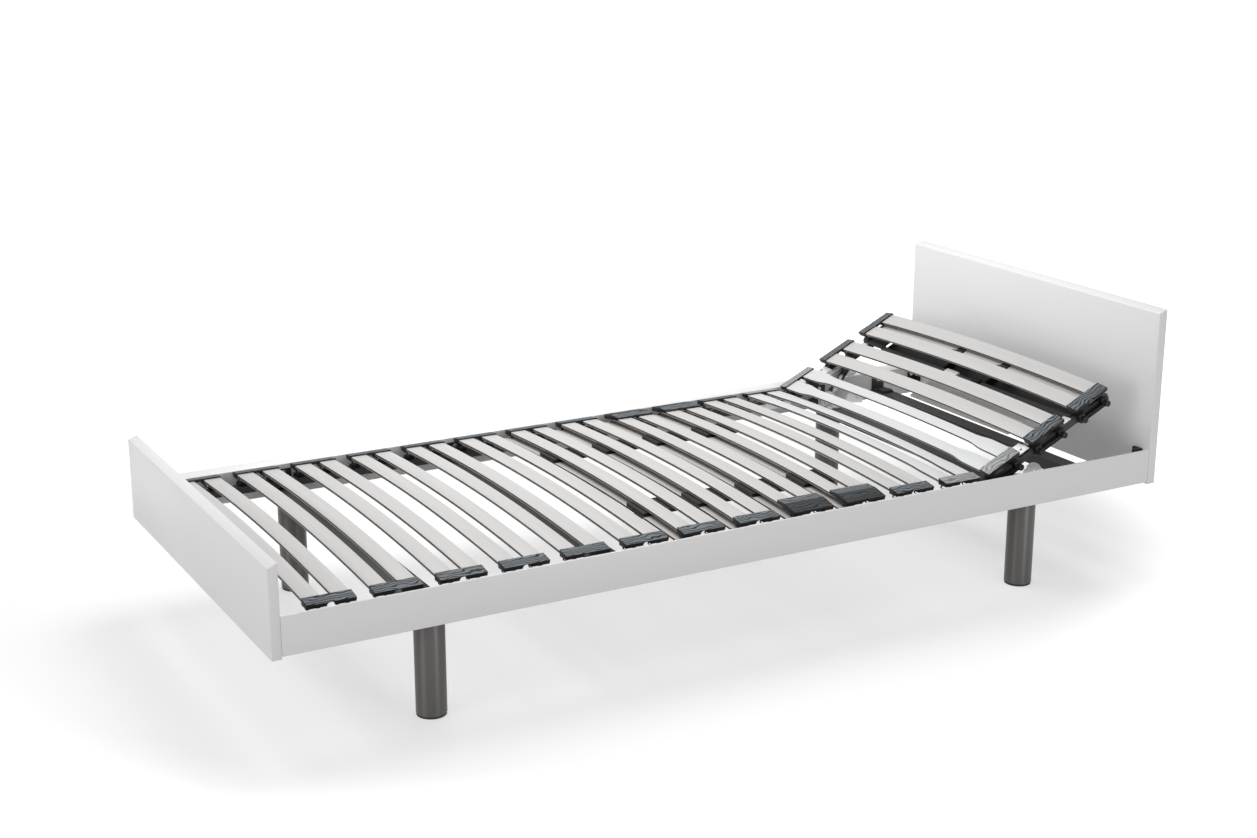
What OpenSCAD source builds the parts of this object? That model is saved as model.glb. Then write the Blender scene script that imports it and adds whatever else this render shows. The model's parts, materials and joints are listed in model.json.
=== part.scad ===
// Adjustable bed base: a panelled surround on four round legs, and a slatted
// frame whose head section is raised by two ratchet arms.
// X runs from the foot end to the head end, Y across the bed, Z up.
// The origin is on the floor, under the middle of the bed.
// The head section is stored raised, at head_angle.

/* [Surround] */
// Overall length, over both end boards
bed_l = 2070; // [1990:10:2300]
// Overall width, over both side rails
bed_w = 883; // [800:1:1100]
// Thickness of the footboard
foot_t = 20; // [16:1:30]
// Height of the footboard
foot_h = 182; // [120:1:300]
// Thickness of the headboard
head_t = 22; // [16:1:30]
// Height of the headboard
head_h = 401; // [300:1:700]
// Thickness of the side rails
rail_t = 22; // [16:1:26]
// Height of the side rails
rail_h = 77.5; // [70:0.5:120]
// How far the end boards reach below the rails
board_drop = 5; // [0:1:30]
// Fall of each panel's sloping top edge
bevel = 8; // [2:1:10]

/* [Legs] */
// Length of the leg tube
leg_h = 200; // [120:5:400]
// Diameter of the leg tube
leg_d = 60; // [50:1:70]
// Wall of the leg tube
leg_wall = 2; // [1.5:0.5:4]
// Thickness of the floor pad
pad_t = 4; // [2:1:10]
// Distance from the foot end of the bed to the legs' centre
leg_foot_x = 329; // [300:1:360]
// Distance from the head end of the bed to the legs' centre
leg_head_x = 324; // [315:1:340]
// Distance from each side of the bed to the legs' centre
leg_side = 66.5; // [60:0.5:80]
// Diameter of the screw stud on top of the leg
stud_d = 10; // [6:1:12]

/* [Base frame] */
// Width of the two leg beams
beam_w = 60; // [50:1:64]
// Height of every cross bar
beam_h = 26; // [22:1:34]
// Wall of every steel tube
tube_wall = 2; // [1.5:0.5:3]
// Width of the middle bar and the head end bar
bar_w = 40; // [30:1:50]
// Distance from the foot end of the bed to the middle bar
mid_bar_x = 740; // [700:1:780]
// Distance from the head end of the bed to the head end bar
end_bar_x = 141; // [125:1:160]
// Thickness of the pads between bars and side members
spacer_t = 6; // [5:0.5:12]
// Thickness of the angle brackets
angle_t = 3; // [2:0.5:4]
// Length of the angle brackets along the rail
angle_l = 36; // [30:1:40]
// Height of the angle brackets on the rail
angle_h = 33; // [28:1:36]

// Length of a corner block's two legs
corner_leg = 24; // [20:1:30]
// Thickness of a corner block's legs
corner_t = 8; // [6:0.5:9]
// Height of the corner blocks at the head end
corner_h = 64; // [50:1:66]
// Height of the corner blocks at the foot end
corner_foot_h = 48; // [42:1:66]

/* [Side members] */
// Width of a side member
member_w = 20; // [18:1:24]
// Height of a side member
member_h = 16; // [14:1:20]
// Gap between a rail and a side member
member_gap = 27.5; // [26:0.5:32]

/* [Slats and caps] */
// Number of slat pairs ahead of the hinge
fixed_pairs = 12; // [12:1:12]
// Number of slat pairs on the head section
head_pairs = 3; // [3:1:3]
// Width of a slat
slat_w = 37; // [30:0.5:38]
// Thickness of a slat
slat_t = 7; // [6:0.5:8]
// Rise of a slat in the middle of the bed
slat_bow = 13.2; // [10:0.2:18]
// Distance between the two slats of a pair, centre to centre
slat_step = 56.5; // [54:0.5:57]
// Distance between the two slats of a pair beside the hinge
hinge_slat_step = 54; // [52:0.5:55]
// Width of the waisted pair before the hinge, in mid bed
waist_before = 31; // [26:1:35]
// Width of the waisted pair after the hinge, in mid bed
waist_after = 25; // [22:1:32]
// Length of the full-width end of a waisted slat
waist_end = 76; // [60:1:100]
// Length of the waist's taper
waist_taper = 50; // [30:1:70]
// Length of a cap along the bed
cap_l = 96; // [95:0.5:100]
// Length of the caps beside the hinge
hinge_cap_l = 91; // [90:0.5:92]
// Width of a cap across the bed
cap_w = 30; // [28:1:34]
// Width of the two shoulder caps across the bed
shoulder_w = 67; // [60:1:72]
// How far the shoulder caps stand above the others
shoulder_rise = 4.5; // [3:0.5:8]
// Height of a cap
cap_t = 14; // [13:0.5:16]
// Rubber over the end of a slat
cap_lip = 4.7; // [4.2:0.1:5.2]
// Fall of a cap's top towards the rail
cap_fall = 4; // [2:0.5:5]
// How far a slat reaches into its cap
slat_in = 18; // [14:1:19]
// Gap between a rail and the caps
cap_gap = 11.5; // [10:0.5:14]
// Width of the notch in a cap's lower edge
notch_w = 17; // [12:1:18]
// Height of the notch
notch_h = 7.5; // [5:0.5:8]
// Distance from the footboard to the first cap's centre
foot_gap = 109; // [100:0.5:120]
// Distance from the lowered last cap's centre to the headboard
head_gap = 105; // [100:0.5:120]
// How much closer together the two pairs before the hinge stand
close_by = 3.8; // [0:0.1:5]

/* [Suspension] */
// Height from the side member to the caps
susp_h = 16; // [15:0.5:18]
// Length of a holder along the bed
holder_l = 84; // [78:1:90]
// Width of a holder across the bed
holder_w = 12; // [10:1:14]
// How far a holder stands above its side member
holder_rise = 4.9; // [4.5:0.1:5.5]
// Distance from a cap's centre to each of its two knobs
knob_off = 34; // [32:0.5:35]
// Diameter of a knob
knob_d = 14; // [10:0.5:15]
// Length of a knob
knob_l = 9; // [7:0.5:11]
// Thickness of the rubber loop
loop_t = 2; // [1.5:0.1:2.4]
// Width of the rubber loop
loop_w = 6; // [4:1:8]

/* [Firmness adjusters] */
// Width of an under-slat
under_w = 38; // [32:1:40]
// Thickness of an under-slat
under_t = 5; // [4:0.5:5.5]
// Clear height between an under-slat and the slat above it
under_gap = 8.5; // [8:0.1:9]
// Distance from an under-slat's end to the rail
under_in = 27.5; // [27:0.5:36]
// Distance from the bed's middle to the left sliders
slider_left_y = 162; // [150:1:225]
// Distance from the bed's middle to the right sliders
slider_right_y = 235; // [170:1:240]
// Length of a slider's block across the bed
slider_l = 71; // [60:1:76]
// How far a slider reaches under the pair's second slat
slider_reach = 80; // [66:1:84]
// Distance from a cap's centre back to the middle of its under-slat
under_off = 35; // [28:1:36]
// Length of a slider's drop-shaped cheeks
cheek_l = 55; // [48:1:62]
// Height of a cheek at its round end
cheek_h = 21; // [19:1:24]
// Thickness of a cheek
cheek_t = 3; // [2:0.5:4]
// Thickness of a slider's lips
lip_t = 3; // [2:0.5:4]
// Play of a slider round its under-slat
slider_play = 0.9; // [0.85:0.05:1]

/* [Hinge and lift] */
// Angle of the head section as stored
head_angle = 25.2; // [15:0.1:35]
// Distance from the last fixed cap's centre to the hinge
hinge_off = 66.3; // [65:0.1:70]
// Distance from the hinge to the first head cap's centre
head_first = 61.5; // [61:0.1:66]
// Height of the hinge's axis above the underside of the side members
hinge_up = 7; // [5:0.5:9]
// Diameter of the eye at the head section's hinge
eye_d = 18; // [16:0.5:20]
// Diameter of the hinge and arm bolts
bolt_d = 10; // [8:0.5:11]
// Radial play of a bolt in its bore
bolt_play = 0.06; // [0.03:0.01:0.09]
// Length of a lift arm, which is also the distance from hinge to arm pivot
arm_r = 100; // [98:1:103]
// Width of a lift arm
arm_w = 17; // [15:0.5:18]
// Thickness of a lift arm
arm_t = 5; // [4:0.5:6]
// Sheet thickness of the lift fittings
sheet_t = 3; // [2:0.5:3]
// Radius of the ratchet disc over its teeth
disc_r = 26; // [23:1:28]
// Number of teeth round a whole disc
disc_teeth = 36; // [24:1:48]
// Depth of a ratchet tooth
tooth_h = 2.2; // [1.5:0.1:3]
// Diameter of the slide roller
roller_d = 12; // [10:0.5:14]
// Length of the ratchet pawl
pawl_l = 26; // [22:1:28]

/* [Head cross channel] */
// Distance from the last cap's centre back to the channel's middle
channel_back = 20; // [15:1:24]
// Width of the channel
channel_w = 48; // [40:1:50]
// Depth of the channel
channel_h = 20; // [14:1:21]
// Wall of the channel
channel_wall = 2.5; // [2:0.5:3]
// Length of the support plate along the bed
plate_w = 92; // [80:1:100]
// Thickness of the support plate
plate_t = 5; // [3:0.5:6]
// Distance from the bed's middle to the support plate's left end
plate_left = 60; // [40:1:100]
// Distance from the last cap's centre to the middle of its under-slat
head_under_x = 20; // [19:1:28]

/* [Fasteners] */
// Diameter of a screw's head
screw_head_d = 9; // [8:0.5:10]
// Diameter of a screw's shank
screw_d = 4; // [3:0.5:5]
// Length of a screw's shank
screw_l = 14; // [10:1:15]

/* [Hidden] */

eps = 0.1;
fit = 0.3;                          // clearance round a piece that slips in
side_play = 0.4;                    // sideways clearance at the hinge
arc_fn = 1440;                      // facets of the slats' long arc

// Along the bed
foot_in = -bed_l / 2 + foot_t;      // inner face of the footboard
head_in = bed_l / 2 - head_t;       // inner face of the headboard
first_x = foot_in + foot_gap;       // centre of the first cap
hinge_step = hinge_off + head_first;
close_pairs = 2;                    // pairs before the hinge that stand closer
pitch = (head_in - head_gap - first_x - hinge_step + close_by * close_pairs) / (fixed_pairs + head_pairs - 2);
last_fixed_x = first_x + pitch * (fixed_pairs - 1) - close_by * close_pairs;
hinge_x = last_fixed_x + hinge_off;
leg_foot = -bed_l / 2 + leg_foot_x;
leg_head = bed_l / 2 - leg_head_x;
leg_places = [leg_foot, leg_head];
mid_x = -bed_l / 2 + mid_bar_x;
end_x = bed_l / 2 - end_bar_x;

// Across the bed, measured from its middle
half_w = bed_w / 2;
in_y = half_w - rail_t;             // inner face of a rail
member_out = in_y - member_gap;
member_in = member_out - member_w;
cap_out = in_y - cap_gap;
cap_in = cap_out - cap_w;
slat_end = cap_in + slat_in;
leg_y = half_w - leg_side;

// Heights
rail_z = pad_t + leg_h;
board_z = rail_z - board_drop;
beam_top = rail_z + beam_h;
member_z = beam_top + spacer_t;
member_top = member_z + member_h;
hinge_z = member_z + hinge_up;
cap_bot = member_top + susp_h;
cap_top = cap_bot + cap_t;
slat_z = cap_top - cap_lip;         // top of a slat at its end

// Numbers of the pairs that differ from the rest
shoulder_pairs = [9, 10];
adjuster_pairs = [7, 8, 9, 10];
pair_before_hinge = fixed_pairs;
pair_after_hinge = fixed_pairs + 1;
last_pair = fixed_pairs + head_pairs;

// Centre of a pair along the bed, with the head section lowered
function pair_x(n) = n <= fixed_pairs ? first_x + pitch * (n - 1) - close_by * max(0, n - fixed_pairs + close_pairs)
    : hinge_x + head_first + pitch * (n - fixed_pairs - 1);

// Radius of an arc from half its chord and its rise
function arc_radius(half_chord, rise) = (half_chord * half_chord + rise * rise) / (2 * rise);

// Height that an arc loses at distance y from the middle
function arc_fall(radius, y) = radius - sqrt(radius * radius - y * y);

slat_r = arc_radius(slat_end, slat_bow);

// Layers of the lift fittings, from the side member inwards
guide_t = 16;                       // guide rail, across the bed
guide_in = member_in - guide_t;
layer_gap = 2;                      // clear space between moving plates
arm_out = guide_in - layer_gap;
arm_in = arm_out - arm_t;
disc_out = arm_in - layer_gap;
disc_in = disc_out - arm_t;
bracket_out = disc_in;
bracket_in = bracket_out - sheet_t;
pivot_x = hinge_x + arm_r;

// Guide rail
guide_h = roller_d + 2 * fit + 2 * tube_wall;
guide_max = 2 * arm_r + roller_d / 2 + 1;
guide_min = 1.18 * arm_r;           // nearest to the hinge that the roller comes, less its radius
head_end = pair_x(last_pair) + cap_l / 2 + 4 - hinge_x; // length of the head side members from the hinge

// Under-slats: the fixed ones lie on the holders, the head one on its side members
holder_top = member_top + holder_rise;
under_end = in_y - under_in;
under_z = slat_top(under_end) - slat_t - under_gap;
head_under_t = 6;
head_under_end = member_out;
head_under_z = holder_top + fit + head_under_t;

// Height of a slat's top at distance y from the bed's middle
function slat_top(y) = slat_z + slat_bow - arc_fall(slat_r, y);

// Head cross channel, in the lowered head section
channel_x = pair_x(last_pair) - channel_back;
channel_top = member_top;
channel_end = bracket_in - 4;       // half length of the channel
strap_x0 = pair_x(last_pair) - cap_l / 2 - 5;
strap_x1 = pair_x(last_pair) - 3;

corner_z = rail_z + 10;

// ---- helpers ----

module both_sides() {
    children();
    mirror([0, 1, 0]) children();
}

module raised() {
    translate([hinge_x, 0, hinge_z]) rotate([0, -head_angle, 0]) translate([-hinge_x, 0, -hinge_z]) children();
}

// Carries a pair's pieces to their place, raised on the head section
module at_pair(n) {
    if (n > fixed_pairs) raised() translate([pair_x(n), 0, 0]) children();
    else translate([pair_x(n), 0, 0]) children();
}

// An outline in Y and Z drawn out along X, centred on x = 0
module along_x(length) {
    translate([-length / 2, 0, 0]) rotate([90, 0, 90]) linear_extrude(height = length) children();
}

// An outline in X and Z drawn out along Y, from y0 to y1
module along_y(y0, y1) {
    translate([0, y1, 0]) rotate([90, 0, 0]) linear_extrude(height = y1 - y0) children();
}

module box(x0, x1, y0, y1, z0, z1) {
    translate([x0, y0, z0]) cube([x1 - x0, y1 - y0, z1 - z0]);
}

module rod_y(x, z, y0, y1, d) {
    translate([x, y0, z]) rotate([-90, 0, 0]) cylinder(d = d, h = y1 - y0, $fn = 48);
}

// A steel tube along Y with its middle at x
module cross_tube(x, width) {
    difference() {
        box(x - width / 2, x + width / 2, -in_y, in_y, rail_z, beam_top);
        box(x - width / 2 + tube_wall, x + width / 2 - tube_wall, -in_y - 1, in_y + 1, rail_z + tube_wall, beam_top - tube_wall);
    }
}

// A bowed strip, its outline in plan as children, its top at z_end at the ends
module bowed(half_chord, rise, thickness, z_end) {
    radius = arc_radius(half_chord, rise);
    intersection() {
        translate([-100, 0, z_end + rise - radius]) rotate([0, 90, 0]) difference() {
            cylinder(r = radius, h = 200, $fn = arc_fn);
            translate([0, 0, -1]) cylinder(r = radius - thickness, h = 202, $fn = arc_fn);
        }
        translate([0, 0, z_end - 30]) linear_extrude(height = 80) children();
    }
}

// ---- surround ----

module end_board(x0, thickness, height) {
    // top edge falls towards the foot end
    rotate([90, 0, 0]) translate([0, 0, -half_w]) linear_extrude(height = bed_w) polygon([
        [x0, board_z], [x0 + thickness, board_z],
        [x0 + thickness, board_z + height], [x0, board_z + height - bevel]
    ]);
}

module side_rail() {
    difference() {
        translate([(foot_in + head_in) / 2, 0, 0]) along_x(head_in - foot_in) polygon([
            [in_y, rail_z], [half_w, rail_z], [half_w, rail_z + rail_h], [in_y, rail_z + rail_h - bevel]
        ]);
        rail_screws();
    }
}

module footboard() {
    color("whitesmoke") difference() {
        end_board(-bed_l / 2, foot_t, foot_h);
        both_sides() corner_screws(foot_in, 1, corner_foot_h, true);
    }
}

module headboard() {
    color("whitesmoke") difference() {
        end_board(head_in, head_t, head_h);
        both_sides() corner_screws(head_in, -1, corner_h, true);
    }
}

module side_rail_left() { color("whitesmoke") side_rail(); }

module side_rail_right() { color("whitesmoke") mirror([0, 1, 0]) side_rail(); }

// ---- brackets and screws ----

// A screw with its head on the plane at the origin, its shank along -Z
module screw(hole = false) {
    grow = hole ? 2 * bolt_play : 0;
    translate([0, 0, -screw_l]) cylinder(d = screw_d + grow, h = screw_l + (hole ? 5 : eps), $fn = 24);
    if (!hole) cylinder(d = screw_head_d, h = 2, $fn = 32);
}

// Heights of the screws in a corner bracket of the given height
function corner_screw_z(height) = [corner_z + 14, corner_z + height - 20];

// The two screws of a corner bracket that go into an end board
module corner_screws(x, inward, height, hole = false) {
    for (z = corner_screw_z(height))
        translate([x + inward * corner_t, in_y - corner_leg + screw_head_d / 2 + 1, z]) rotate([0, inward * 90, 0]) screw(hole);
}

// The two screws of a corner bracket that go into a side rail
module corner_rail_screws(x, inward, height, hole = false) {
    for (z = corner_screw_z(height))
        translate([x + inward * (corner_leg - screw_head_d / 2 - 1), in_y - corner_t, z]) rotate([90, 0, 0]) screw(hole);
}

// Places of the bars, each with an angle bracket at both ends
bar_places = [leg_foot, mid_x, leg_head, end_x];

module angle_screw(x, hole = false) {
    translate([x, in_y - angle_t, beam_top + angle_h - 8]) rotate([90, 0, 0]) screw(hole);
}

module rail_screws() {
    corner_rail_screws(foot_in, 1, corner_foot_h, true);
    corner_rail_screws(head_in, -1, corner_h, true);
    for (x = bar_places) angle_screw(x, true);
}

module corner_bracket(x, inward, height) {
    difference() {
        union() {
            box(min(x, x + inward * corner_t), max(x, x + inward * corner_t),
                in_y - corner_leg, in_y, corner_z, corner_z + height);
            box(min(x, x + inward * corner_leg), max(x, x + inward * corner_leg),
                in_y - corner_t, in_y, corner_z, corner_z + height);
        }
        corner_screws(x, inward, height, true);
        corner_rail_screws(x, inward, height, true);
    }
}

module corner_brackets() {
    color("black") both_sides() {
        corner_bracket(foot_in, 1, corner_foot_h);
        corner_bracket(head_in, -1, corner_h);
    }
}

module bracket_screws() {
    color("silver") both_sides() {
        corner_screws(foot_in, 1, corner_foot_h);
        corner_screws(head_in, -1, corner_h);
        corner_rail_screws(foot_in, 1, corner_foot_h);
        corner_rail_screws(head_in, -1, corner_h);
        for (x = bar_places) angle_screw(x);
    }
}

// An angle that stands on a bar's end, against the rail's inner face
module angle_bracket(x) {
    difference() {
        union() {
            box(x - angle_l / 2, x + angle_l / 2, in_y - member_gap + 3, in_y, beam_top, beam_top + angle_t);
            box(x - angle_l / 2, x + angle_l / 2, in_y - angle_t, in_y, beam_top, beam_top + angle_h);
        }
        angle_screw(x, true);
    }
}

module angle_brackets() {
    color("dimgray") both_sides() for (x = bar_places) angle_bracket(x);
}

// ---- legs and bars ----

module legs() {
    color("dimgray") for (x = leg_places) both_sides() translate([x, leg_y, pad_t]) {
        difference() {
            cylinder(d = leg_d, h = leg_h, $fn = 96);
            translate([0, 0, -eps]) cylinder(d = leg_d - 2 * leg_wall, h = leg_h - 4 + eps, $fn = 96);
        }
        translate([0, 0, leg_h - eps]) cylinder(d = stud_d, h = beam_h - tube_wall - 1, $fn = 32);
    }
}

module leg_pads() {
    color("black") for (x = leg_places) both_sides() translate([x, leg_y, 0]) {
        cylinder(d = leg_d - 1, h = pad_t, $fn = 96);
        translate([0, 0, pad_t - eps]) cylinder(d = leg_d - 2 * leg_wall - fit, h = 8, $fn = 96);
    }
}

module leg_beam(x) {
    difference() {
        cross_tube(x, beam_w);
        both_sides() translate([x, leg_y, rail_z - 1]) cylinder(d = stud_d + 2 * bolt_play, h = tube_wall + 2, $fn = 32);
    }
}

module leg_beams() { color("dimgray") for (x = leg_places) leg_beam(x); }

module cross_bars() {
    color("dimgray") {
        cross_tube(mid_x, bar_w);
        cross_tube(end_x, bar_w);
    }
}

module bar_pads() {
    pad_l = 30;
    color("black") both_sides() {
        for (x = [leg_foot, mid_x])
            box(x - pad_l / 2, x + pad_l / 2, member_in, member_out, beam_top, beam_top + spacer_t);
        for (x = [leg_head, end_x])
            box(x - pad_l / 2, x + pad_l / 2, member_in, member_out, beam_top, beam_top + spacer_t - fit);
    }
}

// ---- fixed side members and hinge ----

hinge_gap = 14;                     // fixed member's end to the hinge's axis
member_start = first_x - cap_l / 2 + 4;

module frame_sides() {
    color("dimgray") both_sides() difference() {
        box(member_start, hinge_x - hinge_gap, member_in, member_out, member_z, member_top);
        box(member_start - 1, hinge_x - hinge_gap + 1, member_in + tube_wall, member_out - tube_wall,
            member_z + tube_wall, member_top - tube_wall);
    }
}

plate_l = 90;                       // hinge plate along the fixed member
plate_out = member_in - side_play;

module hinge_plates() {
    color("silver") both_sides() difference() {
        union() {
            box(hinge_x - plate_l, hinge_x, plate_out - sheet_t, plate_out, member_z + 1, member_top - 1);
            rod_y(hinge_x, hinge_z, plate_out - sheet_t, plate_out, eye_d);
            // two rivets that hold the plate to the member
            for (dx = [30, 70]) rod_y(hinge_x - dx, member_z + member_h / 2, plate_out - sheet_t - 2, member_in, 8);
        }
        rod_y(hinge_x, hinge_z, plate_out - sheet_t - 1, plate_out + 1, bolt_d + 2 * bolt_play);
    }
}

// A bolt along Y with a round head at each end, the outer one of a given height
module cross_bolt(x, z, y0, y1, d, outer_h) {
    rod_y(x, z, y0, y1, d);
    rod_y(x, z, y0 - 3, y0, d + 6);
    rod_y(x, z, y1, y1 + outer_h, d + 6);
}

module hinge_bolts() {
    color("silver") both_sides() cross_bolt(hinge_x, hinge_z, plate_out - sheet_t, member_out + fit, bolt_d, 3);
}

// ---- head section ----

module head_sides() {
    lug = 30;                       // solid end that turns on the bolt
    color("dimgray") raised() both_sides() difference() {
        union() {
            rod_y(hinge_x, hinge_z, member_in, member_out, eye_d);
            box(hinge_x, hinge_x + head_end, member_in, member_out, member_z, member_top);
        }
        box(hinge_x + lug, hinge_x + head_end + 1, member_in + tube_wall, member_out - tube_wall,
            member_z + tube_wall, member_top - tube_wall);
        rod_y(hinge_x, hinge_z, member_in - 1, member_out + 1, bolt_d + 2 * bolt_play);
    }
}

module head_channel() {
    color("dimgray") raised() difference() {
        box(channel_x - channel_w / 2, channel_x + channel_w / 2, -channel_end, channel_end, channel_top - channel_h, channel_top);
        box(channel_x - channel_w / 2 + channel_wall, channel_x + channel_w / 2 - channel_wall, -channel_end - 1, channel_end + 1,
            channel_top - channel_h + channel_wall, channel_top + 1);
    }
}

// Straps that carry the channel over the guide rails onto the side members
module channel_plates() {
    color("dimgray") raised() both_sides() {
        box(strap_x0, strap_x1, channel_end - 20, holder_in - fit, member_top, member_top + sheet_t);
        box(channel_x - channel_w / 2 + channel_wall + fit, channel_x - channel_w / 2 + channel_wall + fit + sheet_t,
            channel_end - 20, channel_end, channel_top - channel_h + channel_wall, member_top + eps);
    }
}

clip_l = 54;                        // chord of a half-round clip
clip_out = 12;
clip_y = [58, -104];
rib_y = [-70, 85];

// Ribs in the channel, and half-round clips between the last pair's first slat and its under-slat
module head_clips() {
    color("black") raised() {
        for (y = rib_y)
            box(channel_x - channel_w / 2 + channel_wall, channel_x + channel_w / 2 - channel_wall, y - 4, y + 4,
                channel_top - channel_h + channel_wall, channel_top);
        for (y = clip_y) half_clip(y);
        plate_ear(-66, -44);
    }
}

// A clip that sits on the head under-slat at y and ends under the slat's far edge
module half_clip(y) {
    z0 = head_under_z + arc_rise(head_under_end, y) + fit;
    z1 = slat_top(abs(y) + clip_l / 2) - slat_t - fit;
    edge = pair_x(last_pair) - slat_step / 2 + slat_w / 2;
    clip_r = arc_radius(clip_l / 2, clip_out);
    translate([0, y, 0]) {
        intersection() {
            translate([edge + clip_out - clip_r, 0, z0]) cylinder(r = clip_r, h = z1 - z0, $fn = 128);
            box(edge - 6, edge + clip_out + 1, -clip_l, clip_l, z0, z1);
        }
        box(edge, edge + 26, -12, 12, z0, z0 + 3);
    }
}

plate_x1 = channel_x - channel_w / 2 - 26;

// Ear that stands on the channel's wall and laps over the support plate
module plate_ear(y0, y1) {
    box(plate_x1, channel_x - channel_w / 2 + channel_wall, y0, y1, channel_top, channel_top + plate_t + sheet_t);
    box(plate_x1 - 12, plate_x1 + eps, y0, y1, channel_top + plate_t, channel_top + plate_t + sheet_t);
}

// Wide support plate beside the channel, under the second head pair
module support_plate() {
    plate_right = 37 + fit - channel_end;
    color("silver") raised() difference() {
        union() {
            box(plate_x1 - plate_w, plate_x1, plate_right, plate_left, channel_top, channel_top + plate_t);
            // tongue that rests on the channel's wall
            box(plate_x1 - eps, channel_x - channel_w / 2 + channel_wall, plate_left - 44, plate_left, channel_top, channel_top + plate_t);
        }
        for (y = [plate_right + 10, plate_left - 30]) translate([plate_x1 - plate_w + 8, y, channel_top - 1]) cylinder(d = 3, h = plate_t + 2, $fn = 24);
    }
}

// Channel-shaped rail on the inner face of a head side member, in which the roller slides
module guide_rails() {
    flange_x = (pair_x(pair_after_hinge) + pair_x(pair_after_hinge + 1)) / 2;
    flange_l = 29;
    flange_up = 6;
    gusset_x = hinge_x + 160;
    gusset_l = 48;
    gusset_h = 24;
    guide_bot = hinge_z - guide_h / 2;
    tab_x = (pair_x(last_pair - 1) + pair_x(last_pair)) / 2;
    tab_l = 20;
    color("silver") raised() both_sides() difference() {
        union() {
            difference() {
                box(flange_x - flange_l / 2, hinge_x + guide_max + 2, guide_in, member_in, guide_bot, hinge_z + guide_h / 2);
                box(hinge_x + guide_min, hinge_x + guide_max + 3, guide_in - 1, member_in - sheet_t,
                    guide_bot + tube_wall, hinge_z + guide_h / 2 - tube_wall);
            }
            box(flange_x - flange_l / 2, flange_x + flange_l / 2, guide_in + 2, member_out, member_top + flange_up, member_top + flange_up + sheet_t);
            box(flange_x - flange_l / 2, flange_x + flange_l / 2, guide_in + 2, member_in, hinge_z + guide_h / 2 - eps, member_top + flange_up + eps);
            // gusset below the rail, and the angle tab between the last two caps
            box(gusset_x, gusset_x + gusset_l, guide_in, member_in, guide_bot, guide_bot + tube_wall);
            along_y(guide_in, guide_in + sheet_t) polygon([
                [gusset_x, guide_bot + eps],
                [gusset_x + gusset_l, guide_bot + eps],
                [gusset_x + gusset_l - 10, guide_bot - gusset_h],
                [gusset_x + gusset_l - 26, guide_bot - gusset_h]
            ]);
            box(tab_x - tab_l / 2, tab_x + tab_l / 2, member_in - sheet_t, member_in, member_z + 1, member_top + eps);
            box(tab_x - tab_l / 2, tab_x + tab_l / 2, member_in - sheet_t, member_out - 2, member_top, member_top + sheet_t);
        }
        rod_y(gusset_x + gusset_l - 18, guide_bot - gusset_h + 10, guide_in - 1, guide_in + sheet_t + 1, 5);
        translate([flange_x, member_in + member_w / 2, member_top + flange_up - 1]) cylinder(d = 7, h = sheet_t + 2, $fn = 32);
    }
}

// ---- ratchet lift ----

// Bracket on the head leg beam: an eye for the arm's pivot and a round wing
module ratchet_brackets() {
    foot_z = beam_top + sheet_t - eps;
    beam_x0 = leg_head - beam_w / 2;
    beam_x1 = leg_head + beam_w / 2;
    wing_x = beam_x1 + 24;
    wing_r = 26;
    color("silver") both_sides() difference() {
        union() {
            box(beam_x0, beam_x1, bracket_in - 24, bracket_out, beam_top, beam_top + sheet_t);
            along_y(bracket_in, bracket_out) polygon(concat(
                [[pivot_x - 12, foot_z], [pivot_x - 14, hinge_z + 5], [pivot_x - 9, hinge_z + 13], [pivot_x + 9, hinge_z + 13],
                 [pivot_x + 20, hinge_z + 2], [wing_x - wing_r, hinge_z - 4]],
                [for (i = [0:12]) let (a = 160 - 15 * i) [wing_x + wing_r * cos(a), hinge_z - 8 + wing_r * sin(a)]],
                [[beam_x1, foot_z]]));
        }
        rod_y(pivot_x, hinge_z, bracket_in - 1, bracket_out + 1, bolt_d + 2 * bolt_play);
        rod_y(wing_x + 6, hinge_z - 2, bracket_in - 1, bracket_out + 1, 6);
    }
}

// Saw-toothed outline of a disc
function teeth(n, r, depth) = [for (i = [0:n - 1], k = [0, 1])
    let (a = 360 * (i + 0.98 * k) / n, q = k == 0 ? r - depth : r) [q * cos(a), q * sin(a)]];

module ratchet_discs() {
    color("gray") both_sides() difference() {
        intersection() {
            translate([pivot_x, 0, hinge_z]) along_y(disc_in, disc_out) polygon(teeth(disc_teeth, disc_r, tooth_h));
            box(pivot_x - disc_r - 1, pivot_x + disc_r + 1, disc_in - 1, disc_out + 1, hinge_z - 9, hinge_z + disc_r + 1);
        }
        rod_y(pivot_x, hinge_z, disc_in - 1, disc_out + 1, bolt_d + 2 * bolt_play);
    }
}

module arm_pivots() {
    color("silver") both_sides() cross_bolt(pivot_x, hinge_z, bracket_in, arm_out + fit, bolt_d - 1, layer_gap - 2 * fit);
}

// Carries a lift arm's pieces from lying flat to their stored angle
module armed() {
    translate([pivot_x, 0, hinge_z]) rotate([0, -2 * head_angle, 0]) translate([-pivot_x, 0, -hinge_z]) children();
}

pawl_pin = disc_r + 24;             // pawl's pin, from the arm's pivot
pawl_pin_d = 6;

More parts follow.
